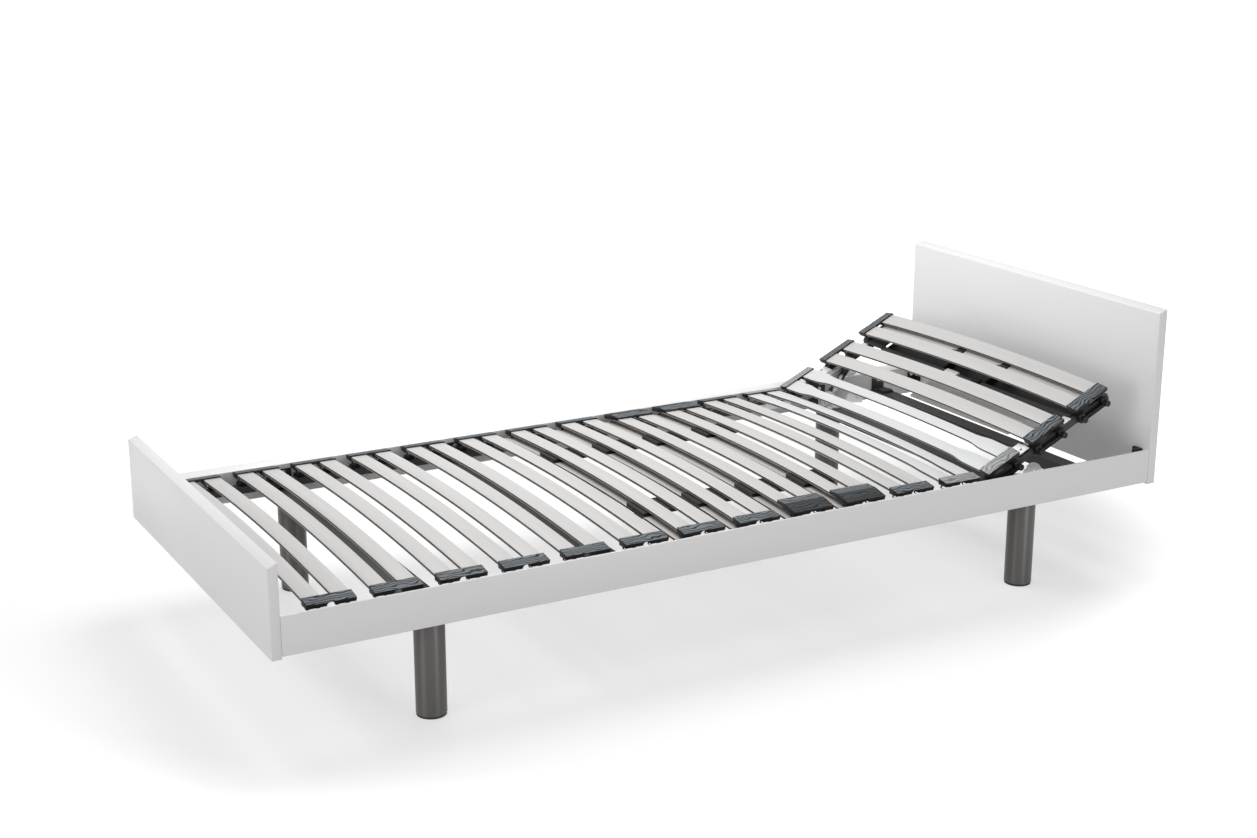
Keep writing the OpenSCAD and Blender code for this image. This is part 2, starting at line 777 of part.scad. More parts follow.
module lift_arm() {
    slot_w = 4;
    color("darkgray") armed() {
        difference() {
            union() {
                rod_y(pivot_x, hinge_z, arm_in, arm_out, arm_w);
                rod_y(pivot_x + arm_r, hinge_z, arm_in, arm_out, arm_w);
                box(pivot_x, pivot_x + arm_r, arm_in, arm_out, hinge_z - arm_w / 2, hinge_z + arm_w / 2);
                // roller, its neck and the pawl's pin
                rod_y(pivot_x + arm_r, hinge_z, arm_out - 1, guide_in + fit, 8);
                rod_y(pivot_x + arm_r, hinge_z, guide_in + fit, member_in - sheet_t - fit, roller_d);
                rod_y(pivot_x + pawl_pin, hinge_z, disc_in, arm_in + 1, pawl_pin_d);
            }
            rod_y(pivot_x, hinge_z, arm_in - 1, arm_out + 1, bolt_d - 1 + 2 * bolt_play);
            // pressed slots
            for (dz = [-1, 1]) box(pivot_x + pawl_pin + 12, pivot_x + arm_r - 14, arm_in - 1, arm_out + 1,
                hinge_z + dz * slot_w - slot_w / 2, hinge_z + dz * slot_w + slot_w / 2);
        }
    }
}

module lift_arm_left() { lift_arm(); }

module lift_arm_right() { mirror([0, 1, 0]) lift_arm(); }

// Pawl: an eye on its pin, a nose towards the teeth and a thumb lever
module pawl() {
    nose = pawl_pin - disc_r - 0.7;
    color("silver") armed() difference() {
        translate([pivot_x + pawl_pin, 0, hinge_z]) union() {
            rod_y(0, 0, disc_in, arm_in - fit, pawl_pin_d + 6);
            along_y(disc_in, arm_in - fit) polygon([
                [-nose, -1.5], [-nose, 1.5], [0, 6], [pawl_l * 0.8, 8], [pawl_l, 6], [pawl_l * 0.5, 1], [0, -6]
            ]);
        }
        rod_y(pivot_x + pawl_pin, hinge_z, disc_in - 1, arm_in + 1, pawl_pin_d + 2 * bolt_play);
    }
}

module pawl_left() { pawl(); }

module pawl_right() { mirror([0, 1, 0]) pawl(); }

// ---- slats ----

module straight_outline(width, half_length) {
    square([width, 2 * half_length], center = true);
}

module waisted_outline(waist) {
    half_end = slat_w / 2;
    half_waist = waist / 2;
    full = slat_end - waist_end;
    right = [[half_end, slat_end], [half_end, full], [half_waist, full - waist_taper], [half_waist, waist_taper - full],
        [half_end, -full], [half_end, -slat_end]];
    polygon(concat(right, [for (i = [len(right) - 1:-1:0]) [-right[i].x, right[i].y]]));
}

module slat_pair(n) {
    waist = n == pair_before_hinge ? waist_before : n == pair_after_hinge ? waist_after : 0;
    step = waist > 0 ? hinge_slat_step : slat_step;
    color("gainsboro") at_pair(n) for (side = [-1, 1]) translate([side * step / 2, 0, 0])
        bowed(slat_end, slat_bow, slat_t, slat_z) {
            if (waist > 0) waisted_outline(waist);
            else straight_outline(slat_w, slat_end);
        }
}

// ---- caps ----

module cap(width, rise, length, step) {
    inner = cap_out - width;
    crease = cap_out - cap_w / 3;
    outer_top = cap_top - cap_fall;
    top = rise > 0
        ? [[cap_out, outer_top + 2], [cap_out - 0.57 * width, cap_top + rise], [inner, cap_top + rise]]
        : [[cap_out, outer_top], [crease, cap_top - 1], [cap_in, cap_top]];
    difference() {
        along_x(length) polygon(concat([[inner, cap_bot], [cap_out - 3, cap_bot], [cap_out, cap_bot + 2]], top));
        // pockets for the two slats
        for (side = [-1, 1]) translate([side * step / 2, 0, 0])
            box(-slat_w / 2 - fit, slat_w / 2 + fit, inner - 1, slat_end + fit,
                slat_z - slat_t - fit, slat_top(inner) + fit);
        // notch between the two slats, in the lower outer edge
        box(-notch_w / 2, notch_w / 2, inner - 1, cap_out + 1, cap_bot - 1, cap_bot + notch_h);
    }
}

module cap_pairs(pairs, width, rise, length = cap_l, step = slat_step) {
    for (n = pairs) at_pair(n) both_sides() cap(width, rise, length, step);
}

module flat_caps() {
    color("slategray") cap_pairs([for (n = [1:fixed_pairs - 1]) if (len(search(n, shoulder_pairs)) == 0) n], cap_w, 0);
}

module shoulder_caps() { color("slategray") cap_pairs(shoulder_pairs, shoulder_w, shoulder_rise); }

module hinge_caps_fixed() { color("gray") cap_pairs([pair_before_hinge], cap_w, 0, hinge_cap_l, hinge_slat_step); }

module hinge_caps_head() { color("gray") cap_pairs([pair_after_hinge], cap_w, 0, hinge_cap_l, hinge_slat_step); }

module head_caps() { color("slategray") cap_pairs([for (n = [pair_after_hinge + 1:last_pair]) n], cap_w, 0); }

// ---- suspension ----

loop_x = 32;                        // a loop's place from the cap's centre
holder_in = member_out - 12;        // how far a holder reaches over its side member

// One holder: a low tie on the outer face of the side member, and at each end of it a post with a knob and a loop up to the cap
module holder() {
    loop_r = (cap_bot - holder_top) / 2 - eps;
    loop_y = member_out + holder_w - loop_r;
    post_x = knob_off - knob_d / 2 - 1;
    tie_h = 8;
    box(-holder_l / 2, holder_l / 2, member_out, member_out + holder_w, member_z, member_z + tie_h);
    for (side = [0, 1]) mirror([side, 0, 0]) {
        box(post_x, holder_l / 2, member_out, member_out + holder_w, member_z + tie_h - eps, holder_top);
        box(post_x, holder_l / 2, holder_in, member_out + eps, member_top, holder_top);
        rod_y(knob_off, member_z + knob_d / 2, member_out + holder_w - eps, member_out + holder_w + knob_l, knob_d);
        translate([loop_x, 0, 0]) along_x(loop_w) translate([loop_y, holder_top + loop_r]) difference() {
            circle(r = loop_r + eps, $fn = 48);
            circle(r = loop_r + eps - loop_t, $fn = 48);
        }
    }
}

module suspension_fixed() {
    color("black") both_sides() for (n = [1:fixed_pairs]) at_pair(n) holder();
}

module suspension_head() {
    color("black") both_sides() for (n = [fixed_pairs + 1:last_pair]) at_pair(n) holder();
}

// ---- firmness adjusters ----

// Height gained by a slat-shaped arc from its end at distance y_end to distance y
function arc_rise(y_end, y) = arc_fall(slat_r, y_end) - arc_fall(slat_r, y);

// The slats' own bow over a shorter strip
function part_bow(y_end) = arc_fall(slat_r, y_end);

module under_slats() {
    color("silver") for (n = adjuster_pairs) at_pair(n) translate([-under_off, 0, 0])
        bowed(under_end, part_bow(under_end), under_t, under_z) straight_outline(under_w, under_end);
}

module head_under_slats() {
    color("silver") raised() translate([pair_x(last_pair) + head_under_x, 0, 0])
        bowed(head_under_end, part_bow(head_under_end), head_under_t, head_under_z) straight_outline(under_w, head_under_end);
}

// Drop-shaped outline of a cheek in Y and Z, its top on the Y axis, its tip towards +Y
cheek_back = 20;
cheek_r = cheek_h * 2 / 3;
cheek_mid = cheek_r - cheek_back;
cheek_lean = atan2(cheek_h - cheek_r, cheek_l - cheek_back - cheek_mid)
    - acos(cheek_r / norm([cheek_l - cheek_back - cheek_mid, cheek_h - cheek_r]));
cheek_outline = concat([[cheek_l - cheek_back, 0]],
    [for (i = [0:16]) let (a = cheek_lean + (-180 - cheek_lean) * i / 16) [cheek_mid + cheek_r * cos(a), cheek_r - cheek_h + cheek_r * sin(a)]],
    [[-cheek_back, 0]]);

// A slider on an under-slat: a block between slat and under-slat, and two cheeks with lips below.
// The cheeks' tips and the block's longer half point to the left side of the bed.
module slider(n, y, left) {
    slope = asin(y / slat_r);
    block_top = under_gap - slider_play;
    low = -under_t - slider_play;
    cheek_x = under_w / 2 + slider_play;
    block_back = 27;
    color("black") translate([pair_x(n) - under_off, y, under_z + arc_rise(under_end, y)]) rotate([-slope, 0, 0]) mirror([0, left ? 0 : 1, 0]) {
        box(-cheek_x - cheek_t, slider_reach, -block_back, slider_l - block_back, fit, block_top);
        for (side = [-1, 1]) {
            translate([side * (cheek_x + cheek_t / 2), 0, 0]) along_x(cheek_t) translate([0, block_top]) polygon(cheek_outline);
            box(side > 0 ? cheek_x - 7 : -cheek_x - eps, side > 0 ? cheek_x + eps : 7 - cheek_x, -15, 5, low - lip_t, low);
        }
    }
}

module slider_left(n) { slider(n, slider_left_y, true); }

module slider_right(n) { mirror([0, 1, 0]) slider(n, slider_right_y, false); }

// ---- the nodes ----

footboard();
headboard();
side_rail_right();
side_rail_left();
corner_brackets();
bracket_screws();
legs();
leg_pads();
leg_beams();
cross_bars();
bar_pads();
angle_brackets();
frame_sides();
hinge_plates();
hinge_bolts();
head_sides();
head_channel();
head_clips();
channel_plates();
support_plate();
guide_rails();
ratchet_brackets();
ratchet_discs();
arm_pivots();
lift_arm_right();
lift_arm_left();
pawl_right();
pawl_left();
slider_right(7);  // slider_07_right
slider_left(7);  // slider_07_left
slider_right(8);  // slider_08_right
slider_left(8);  // slider_08_left
slider_right(9);  // slider_09_right
slider_left(9);  // slider_09_left
slider_right(10);  // slider_10_right
slider_left(10);  // slider_10_left
under_slats();
head_under_slats();
suspension_fixed();
suspension_head();
flat_caps();
shoulder_caps();
hinge_caps_fixed();
hinge_caps_head();
head_caps();
slat_pair(1);  // slat_pair_01
slat_pair(2);  // slat_pair_02
slat_pair(3);  // slat_pair_03
slat_pair(4);  // slat_pair_04
slat_pair(5);  // slat_pair_05
slat_pair(6);  // slat_pair_06
slat_pair(7);  // slat_pair_07
slat_pair(8);  // slat_pair_08
slat_pair(9);  // slat_pair_09
slat_pair(10);  // slat_pair_10
slat_pair(11);  // slat_pair_11
slat_pair(12);  // slat_pair_12
slat_pair(13);  // slat_pair_13
slat_pair(14);  // slat_pair_14
slat_pair(15);  // slat_pair_15
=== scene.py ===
import json
import math
import bpy
from mathutils import Matrix, Vector


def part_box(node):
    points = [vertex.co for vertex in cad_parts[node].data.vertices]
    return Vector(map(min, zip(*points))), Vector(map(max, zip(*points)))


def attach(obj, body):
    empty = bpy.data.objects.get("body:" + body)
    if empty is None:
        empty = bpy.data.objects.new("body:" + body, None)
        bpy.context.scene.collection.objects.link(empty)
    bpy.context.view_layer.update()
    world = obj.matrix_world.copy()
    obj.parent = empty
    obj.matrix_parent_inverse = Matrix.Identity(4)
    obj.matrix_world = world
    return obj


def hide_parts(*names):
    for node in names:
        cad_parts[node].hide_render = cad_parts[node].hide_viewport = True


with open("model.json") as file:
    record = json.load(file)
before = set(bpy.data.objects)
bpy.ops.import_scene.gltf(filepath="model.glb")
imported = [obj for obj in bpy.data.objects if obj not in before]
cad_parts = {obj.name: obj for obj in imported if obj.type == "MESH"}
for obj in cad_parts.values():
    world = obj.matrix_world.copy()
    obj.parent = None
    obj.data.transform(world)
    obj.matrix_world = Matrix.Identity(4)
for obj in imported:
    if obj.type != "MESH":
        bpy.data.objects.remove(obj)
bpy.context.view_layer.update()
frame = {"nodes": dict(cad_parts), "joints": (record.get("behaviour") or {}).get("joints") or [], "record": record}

cadNode = frame["nodes"]
tilt = next(j for j in frame["joints"] if j["name"] == "head_tilt")
hinge = Vector(tilt["pos_m"])
headAngle = -tilt["range_deg"][0]
headTurn = Matrix.Rotation(math.radians(-headAngle), 4, "Y")
headSwing = Matrix.Translation(hinge) @ headTurn @ Matrix.Translation(-hinge)
onPlane = 1e-4  # a vertex this close to a plane lies on it
facing = 0.9  # a face looks along an axis when this much of its normal does
beyond = 0.01  # how far a cutter reaches past the piece it cuts
print("frame loaded")


def selectOnly(obj):
    if bpy.context.object and bpy.context.object.mode != "OBJECT":
        bpy.ops.object.mode_set(mode="OBJECT")
    bpy.ops.object.select_all(action="DESELECT")
    if obj:
        obj.select_set(True)
        bpy.context.view_layer.objects.active = obj


def bakePlace(obj, name):
    obj.name = name
    obj.data.name = name
    bpy.ops.object.transform_apply(location=True, rotation=True, scale=True)
    return obj


def block(name, low, high):
    selectOnly(None)
    low, high = Vector(low), Vector(high)
    bpy.ops.mesh.primitive_cube_add(size=1, location=(low + high) / 2)
    obj = bpy.context.object
    obj.scale = high - low
    return bakePlace(obj, name)


def rod(name, start, end, radius, sides=32):
    selectOnly(None)
    start, end = Vector(start), Vector(end)
    lean = (end - start).to_track_quat("Z", "Y").to_euler()
    bpy.ops.mesh.primitive_cylinder_add(vertices=sides, radius=radius, depth=(end - start).length,
                                        location=(start + end) / 2, rotation=lean)
    return bakePlace(bpy.context.object, name)


def ring(name, majorRadius, minorRadius):
    # a ring round the Y axis, at the origin
    selectOnly(None)
    bpy.ops.mesh.primitive_torus_add(rotation=(math.pi / 2, 0, 0), major_radius=majorRadius,
                                     minor_radius=minorRadius, major_segments=24, minor_segments=8)
    return bakePlace(bpy.context.object, name)


def editSelection(obj, kind, test):
    # leaves obj in edit mode with the vertices, edges or faces that pass the test selected
    selectOnly(obj)
    bpy.ops.object.mode_set(mode="EDIT")
    bpy.ops.mesh.select_mode(type=kind)
    bpy.ops.mesh.select_all(action="DESELECT")
    bpy.ops.object.mode_set(mode="OBJECT")
    mesh = obj.data
    if kind == "VERT":
        for v in mesh.vertices:
            v.select = test(v.co)
    elif kind == "EDGE":
        for e in mesh.edges:
            e.select = test(mesh.vertices[e.vertices[0]].co, mesh.vertices[e.vertices[1]].co)
    else:
        for p in mesh.polygons:
            p.select = test(p.center, p.normal)
    bpy.ops.object.mode_set(mode="EDIT")


def leaveEdit():
    bpy.ops.object.mode_set(mode="OBJECT")


def moveVerts(obj, test, shift):
    editSelection(obj, "VERT", test)
    bpy.ops.transform.translate(value=shift)
    leaveEdit()


def applyAll(obj):
    selectOnly(obj)
    for m in list(obj.modifiers):
        bpy.ops.object.modifier_apply(modifier=m.name)


def addBevel(obj, width, segments, angle):
    bevel = obj.modifiers.new("roundEdges", "BEVEL")
    bevel.width = width
    bevel.segments = segments
    bevel.limit_method = "ANGLE"
    bevel.angle_limit = math.radians(angle)


def smooth(obj, angle):
    selectOnly(obj)
    bpy.ops.object.shade_smooth_by_angle(angle=math.radians(angle))


def roundEdges(obj, width, segments=2, angle=35):
    addBevel(obj, width, segments, angle)
    applyAll(obj)
    smooth(obj, angle)
    return obj


def cutAway(obj, cutter):
    tool = obj.modifiers.new("cut", "BOOLEAN")
    tool.operation = "DIFFERENCE"
    tool.solver = "EXACT"
    tool.object = cutter
    applyAll(obj)
    remove(cutter)


def copyAt(obj, name, move):
    # a copy with its own mesh, moved by a matrix
    twin = obj.copy()
    twin.data = obj.data.copy()
    twin.name = twin.data.name = name
    bpy.context.scene.collection.objects.link(twin)
    twin.data.transform(move)
    if move.determinant() < 0:
        twin.data.flip_normals()
    return twin


def joined(name, parts):
    selectOnly(parts[0])
    for p in parts:
        p.select_set(True)
    bpy.ops.object.join()
    parts[0].name = parts[0].data.name = name
    return parts[0]


def remove(*objs):
    for o in objs:
        bpy.data.objects.remove(o)


def dress(obj, *materials):
    obj.data.materials.clear()
    for m in materials:
        obj.data.materials.append(m)


def faceMaterial(obj, index, test):
    for p in obj.data.polygons:
        if test(p.center, p.normal):
            p.material_index = index


def place(obj, body, slotName, *nodes):
    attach(obj, body)
    if nodes:
        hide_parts(*nodes)


mirrorY = Matrix.Scale(-1, 4, (0, 1, 0))

def newGroup(name, inputs, outputs):
    group = bpy.data.node_groups.new(name, "ShaderNodeTree")
    for way, sockets in (("INPUT", inputs), ("OUTPUT", outputs)):
        for label, kind in sockets.items():
            group.interface.new_socket(label, in_out=way, socket_type="NodeSocket" + kind)
    return group, group.nodes.new("NodeGroupInput"), group.nodes.new("NodeGroupOutput")


def node(tree, kind, **settings):
    # a setting is one of the node's properties or the constant of one of its sockets
    n = tree.nodes.new("ShaderNode" + kind)
    for key, value in settings.items():
        if hasattr(n, key):
            setattr(n, key, value)
        else:
            n.inputs[key].default_value = value
    return n


def feed(tree, value, socket):
    # links another node's output to a socket, or sets a constant on it
    if isinstance(value, bpy.types.NodeSocket):
        tree.links.new(value, socket)
    else:
        socket.default_value = value


def mathNode(tree, operation, a, b=0.0, clamp=False):
    n = node(tree, "Math", operation=operation, use_clamp=clamp)
    feed(tree, a, n.inputs[0])
    feed(tree, b, n.inputs[1])
    return n.outputs[0]


def vectorNode(tree, operation, a, b=(0, 0, 0)):
    n = node(tree, "VectorMath", operation=operation)
    feed(tree, a, n.inputs[0])
    feed(tree, b, n.inputs[1])
    return n.outputs["Value" if operation == "LENGTH" else "Vector"]


def blend(tree, a, b, share):
    # a weighted sum: this share of a and the rest of b
    parts = [mathNode(tree, "MULTIPLY", value, weight) for value, weight in ((a, share), (b, 1 - share))]
    return mathNode(tree, "ADD", *parts)


def mixColour(tree, factor, a, b):
    # the colour sockets of a mix node are its seventh and eighth
    n = node(tree, "Mix", data_type="RGBA")
    for i, value in ((0, factor), (6, a), (7, b)):
        feed(tree, value, n.inputs[i])
    return n.outputs[2]


def remap(tree, value, fromRange=(0, 1), toRange=(0, 1), **settings):
    n = node(tree, "MapRange", **settings)
    labels = ("From Min", "From Max", "To Min", "To Max")
    for label, limit in zip(labels, (*fromRange, *toRange)):
        n.inputs[label].default_value = limit
    tree.links.new(value, n.inputs["Value"])
    return n.outputs[0]


def buildGrainGroup():
    # long wood figure: streaks along one axis, with a finer fibre inside
    g, inp, out = newGroup("longGrain", {
        "Vector": "Vector", "Ground": "Color", "Streak": "Color",
        "Width": "Float", "Length": "Float", "Strength": "Float",
    }, {"Color": "Color", "Height": "Float", "Mask": "Float"})
    scale = node(g, "CombineXYZ")
    for i, label in enumerate(("Width", "Length", "Width")):
        g.links.new(inp.outputs[label], scale.inputs[i])
    stretched = vectorNode(g, "MULTIPLY", inp.outputs["Vector"], scale.outputs[0])
    broad = node(g, "TexNoise", Scale=0.35, Detail=3.0, Roughness=0.55)
    fine = node(g, "TexNoise", Scale=2.4, Detail=4.0, Roughness=0.65)
    for noise in (broad, fine):
        g.links.new(stretched, noise.inputs["Vector"])
    broadShare = 0.6
    figure = blend(g, broad.outputs[0], fine.outputs[0], broadShare)
    streaks = remap(g, figure, fromRange=(0.38, 0.64))
    mask = mathNode(g, "MULTIPLY", streaks, inp.outputs["Strength"], clamp=True)
    g.links.new(mixColour(g, mask, inp.outputs["Ground"], inp.outputs["Streak"]), out.inputs["Color"])
    g.links.new(fine.outputs[0], out.inputs["Height"])
    g.links.new(mask, out.inputs["Mask"])
    return g


def buildSpeckleGroup():
    # slow mottling and a fine speckle for lacquer, metal, plastic and rubber
    g, inp, out = newGroup("softSpeckle", {
        "Vector": "Vector", "Ground": "Color", "Speck": "Color",
        "Patch Size": "Float", "Speck Size": "Float", "Strength": "Float",
    }, {"Color": "Color", "Height": "Float", "Patch": "Float"})
    patch = node(g, "TexNoise", Detail=3.0, Roughness=0.6)
    speck = node(g, "TexNoise", Detail=2.0, Roughness=0.5)
    for noise, size in ((patch, "Patch Size"), (speck, "Speck Size")):
        g.links.new(inp.outputs["Vector"], noise.inputs["Vector"])
        g.links.new(inp.outputs[size], noise.inputs["Scale"])
    patchShare = 0.65
    mottling = blend(g, patch.outputs[0], speck.outputs[0], patchShare)
    mask = mathNode(g, "MULTIPLY", mottling, inp.outputs["Strength"], clamp=True)
    g.links.new(mixColour(g, mask, inp.outputs["Ground"], inp.outputs["Speck"]), out.inputs["Color"])
    g.links.new(speck.outputs[0], out.inputs["Height"])
    g.links.new(patch.outputs[0], out.inputs["Patch"])
    return g


def buildWaveGroup():
    # embossed wavy lines running along X, as moulded into the slat caps
    g, inp, out = newGroup("embossedLines", {
        "Vector": "Vector", "Ground": "Color", "Groove": "Color",
        "Lines Per Metre": "Float", "Waviness": "Float", "Depth": "Float",
    }, {"Color": "Color", "Height": "Float"})
    slow = vectorNode(g, "MULTIPLY", inp.outputs["Vector"], (26.0, 40.0, 40.0))
    drift = node(g, "TexNoise", Scale=1.0, Detail=1.5, Roughness=0.45)
    g.links.new(slow, drift.inputs["Vector"])
    split = node(g, "SeparateXYZ")
    g.links.new(inp.outputs["Vector"], split.inputs[0])
    across = mathNode(g, "MULTIPLY", split.outputs[1], inp.outputs["Lines Per Metre"])
    bent = mathNode(g, "ADD", across, mathNode(g, "MULTIPLY", drift.outputs[0], inp.outputs["Waviness"]))
    wave = mathNode(g, "SINE", mathNode(g, "MULTIPLY", bent, 2 * math.pi))
    groove = remap(g, wave, fromRange=(0.25, 0.75))
    mask = mathNode(g, "MULTIPLY", groove, inp.outputs["Depth"], clamp=True)
    g.links.new(mixColour(g, mask, inp.outputs["Ground"], inp.outputs["Groove"]), out.inputs["Color"])
    g.links.new(mathNode(g, "SUBTRACT", 1.0, groove), out.inputs["Height"])
    return g


grainGroup = buildGrainGroup()
speckleGroup = buildSpeckleGroup()
waveGroup = buildWaveGroup()
print("shader groups built")


def startMaterial(name, look):
    m = bpy.data.materials.new(name)
    m.use_nodes = True
    tree = m.node_tree
    shader = tree.nodes["Principled BSDF"]
    shader.inputs["Roughness"].default_value = look["roughness"]
    shader.inputs["Metallic"].default_value = look.get("metallic", 0.0)
    shader.inputs["Coat Weight"].default_value = look.get("coat", 0.0)
    shader.inputs["Specular IOR Level"].default_value = look.get("specular", 0.5)
    return m, tree, shader, node(tree, "TexCoord").outputs["Object"]


def socketLabel(key):
    # patchSize sets the socket Patch Size
    return "".join(" " + c if c.isupper() else c for c in key).title()


def addGroup(tree, group, vector, look):
    # a shared group, with each socket set that the look has a value for
    n = node(tree, "Group", node_tree=group)
    tree.links.new(vector, n.inputs["Vector"])
    for key, value in look.items():
        if socketLabel(key) in n.inputs:
            n.inputs[socketLabel(key)].default_value = (*value, 1) if isinstance(value, tuple) else value
    return n


def addBump(tree, shader, height, look):
    bump = node(tree, "Bump", Strength=look["bump"], Distance=look["relief"])
    tree.links.new(height, bump.inputs["Height"])
    tree.links.new(bump.outputs[0], shader.inputs["Normal"])


def varyRoughness(tree, shader, value, low, high):
    tree.links.new(remap(tree, value, toRange=(low, high)), shader.inputs["Roughness"])


def speckled(name, look):
    m, tree, shader, objectSpace = startMaterial(name, look)
    if "turned" in look:
        # fine turning marks round an upright tube stretch its sheen upwards
        shader.inputs["Anisotropic"].default_value = look["turned"]
        upright = node(tree, "CombineXYZ", Z=1.0)
        tree.links.new(upright.outputs[0], shader.inputs["Tangent"])
    s = addGroup(tree, speckleGroup, objectSpace, look)
    tree.links.new(s.outputs["Color"], shader.inputs["Base Color"])
    low, high = look["roughness"] - look["spread"], look["roughness"] + look["spread"]
    varyRoughness(tree, shader, s.outputs["Patch"], low, high)
    addBump(tree, shader, s.outputs["Height"], look)
    return m


def grained(name, look):
    m, tree, shader, objectSpace = startMaterial(name, look)
    g = addGroup(tree, grainGroup, objectSpace, look)
    tree.links.new(g.outputs["Color"], shader.inputs["Base Color"])
    smoother, rougher = 0.05, 0.1
    low, high = look["roughness"] - smoother, look["roughness"] + rougher
    varyRoughness(tree, shader, g.outputs["Mask"], low, high)
    addBump(tree, shader, g.outputs["Height"], look)
    return m


def embossed(name, look):
    m, tree, shader, objectSpace = startMaterial(name, look)
    w = addGroup(tree, waveGroup, objectSpace, look)
    tree.links.new(w.outputs["Color"], shader.inputs["Base Color"])
    addBump(tree, shader, w.outputs["Height"], look)
    return m


looks = {
    "lacquer": (speckled, dict(
        ground=(0.72, 0.715, 0.72), speck=(0.68, 0.675, 0.68), roughness=0.36, spread=0.05,
        coat=0.1, patchSize=5.0, speckSize=900.0, strength=0.4, bump=0.04, relief=0.0002)),
    "legSteel": (speckled, dict(
        ground=(0.105, 0.102, 0.099), speck=(0.13, 0.126, 0.122), roughness=0.43, spread=0.02,
        metallic=0.65, specular=0.4, turned=0.8, patchSize=12.0, speckSize=1400.0, strength=0.6,
        bump=0.06, relief=0.0002)),
    "darkSteel": (speckled, dict(
        ground=(0.030, 0.029, 0.029), speck=(0.055, 0.052, 0.05), roughness=0.46, spread=0.08,
        specular=0.3, patchSize=14.0, speckSize=1200.0, strength=0.6, bump=0.12, relief=0.0003)),
    "zinc": (speckled, dict(
        ground=(0.86, 0.86, 0.85), speck=(0.55, 0.55, 0.55), roughness=0.36, spread=0.1,
        metallic=0.6, patchSize=70.0, speckSize=500.0, strength=0.5, bump=0.1, relief=0.0002)),
    "blackPlastic": (speckled, dict(
        ground=(0.010, 0.010, 0.011), speck=(0.022, 0.022, 0.023), roughness=0.46, spread=0.06,
        specular=0.22, patchSize=20.0, speckSize=1600.0, strength=0.5, bump=0.12, relief=0.0002)),
    "greyPlastic": (speckled, dict(
        ground=(0.40, 0.38, 0.36), speck=(0.30, 0.28, 0.27), roughness=0.5, spread=0.06,
        patchSize=20.0, speckSize=1200.0, strength=0.5, bump=0.1, relief=0.0002)),
    # painted light: a paler finish than the grey plastic, for the support plate alone, lifting the shade it lies
    # in under the slats
    "paintedLightPlate": (speckled, dict(
        ground=(0.78, 0.765, 0.74), speck=(0.66, 0.645, 0.62), roughness=0.5, spread=0.06,
        patchSize=20.0, speckSize=1200.0, strength=0.5, bump=0.1, relief=0.0002)),
    "padRubber": (speckled, dict(
        ground=(0.015, 0.015, 0.015), speck=(0.03, 0.03, 0.03), roughness=0.7, spread=0.08,
        patchSize=30.0, speckSize=1200.0, strength=0.5, bump=0.15, relief=0.0003)),
    "veneer": (grained, dict(
        ground=(0.485, 0.476, 0.469), streak=(0.415, 0.405, 0.395), width=170.0, length=2.2,
        strength=0.6, roughness=0.42, bump=0.12, relief=0.0003)),
    "coolVeneer": (grained, dict(
        ground=(0.56, 0.566, 0.571), streak=(0.49, 0.496, 0.50), width=170.0, length=2.2,
        strength=0.5, roughness=0.42, bump=0.12, relief=0.0003)),
    # painted shade: a dark streaked band on the upper part of each slat side, standing in for the shadow line at
    # the slats' edges
    "paintedShadeEdge": (grained, dict(
        ground=(0.10, 0.085, 0.075), streak=(0.03, 0.025, 0.022), width=900.0, length=6.0,
        strength=1.0, roughness=0.6, bump=0.3, specular=0.2, relief=0.0003)),
    "underVeneer": (grained, dict(
        ground=(0.47, 0.445, 0.425), streak=(0.35, 0.322, 0.30), width=150.0, length=3.0,
        strength=0.8, roughness=0.5, bump=0.15, relief=0.0003)),
    "capDark": (embossed, dict(
        ground=(0.140, 0.154, 0.165), groove=(0.006, 0.007, 0.008), linesPerMetre=125.0,
        waviness=4.0, depth=1.0, roughness=0.6, bump=0.9, specular=0.14, relief=0.0006)),
    # painted shade: a darker copy of the cap top's finish, laid on the outer slope of the raised caps
    "paintedSlopeShade": (embossed, dict(
        ground=(0.042, 0.046, 0.050), groove=(0.008, 0.009, 0.010), linesPerMetre=125.0,
        waviness=4.0, depth=1.0, roughness=0.6, bump=0.9, specular=0.14, relief=0.0006)),
    "capGrey": (embossed, dict(
        ground=(0.27, 0.275, 0.278), groove=(0.07, 0.073, 0.077), linesPerMetre=125.0,
        waviness=4.0, depth=0.8, roughness=0.5, bump=0.7, relief=0.0006)),
}
finishes = {name: build(name, look) for name, (build, look) in looks.items()}
slotFinish = {
    "lacquer": "lacquer", "leg_steel": "legSteel", "dark_steel": "darkSteel", "zinc": "zinc",
    "slat_wood": "veneer", "under_wood": "underVeneer", "cap_dark": "capDark", "cap_grey": "capGrey",
    "black_plastic": "blackPlastic", "grey_plastic": "greyPlastic", "pad_rubber": "padRubber",
}
nodeSlot = {s["node"]: s["material_slot"] for s in frame["record"]["subparts"]}
for nodeName, obj in cadNode.items():
    # the support plate takes the paler finish of painted light in place of its grey plastic
    finish = finishes["paintedLightPlate" if nodeName == "support_plate" else slotFinish[nodeSlot[nodeName]]]
    if len(obj.material_slots):
        for s in obj.material_slots:
            s.link = "OBJECT"
            s.material = finish
    else:
        obj.data.materials.append(finish)
print("materials on", len(cadNode), "nodes")


# fifteen pairs of bowed slats; the ones by the hinge are narrower in the middle
slats = dict(width=0.037, thickness=0.007, halfLength=0.396, rings=48, edge=0.0021, darkLine=0.0040,
             bow=0.0132, endTop=0.2773, step=0.0565, hingeStep=0.054, headFirst=0.0615,
             waistBefore=0.031, waistAfter=0.025, waistFrom=0.320, waistTo=0.268, facingUp=0.3)
bowRadius = (slats["halfLength"] ** 2 + slats["bow"] ** 2) / (2 * slats["bow"])


def slatTop(y):
    return slats["endTop"] + slats["bow"] - (bowRadius - math.sqrt(bowRadius ** 2 - y * y))


def nodeMiddle(name):
    low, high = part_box(name)
    return (low[0] + high[0]) / 2


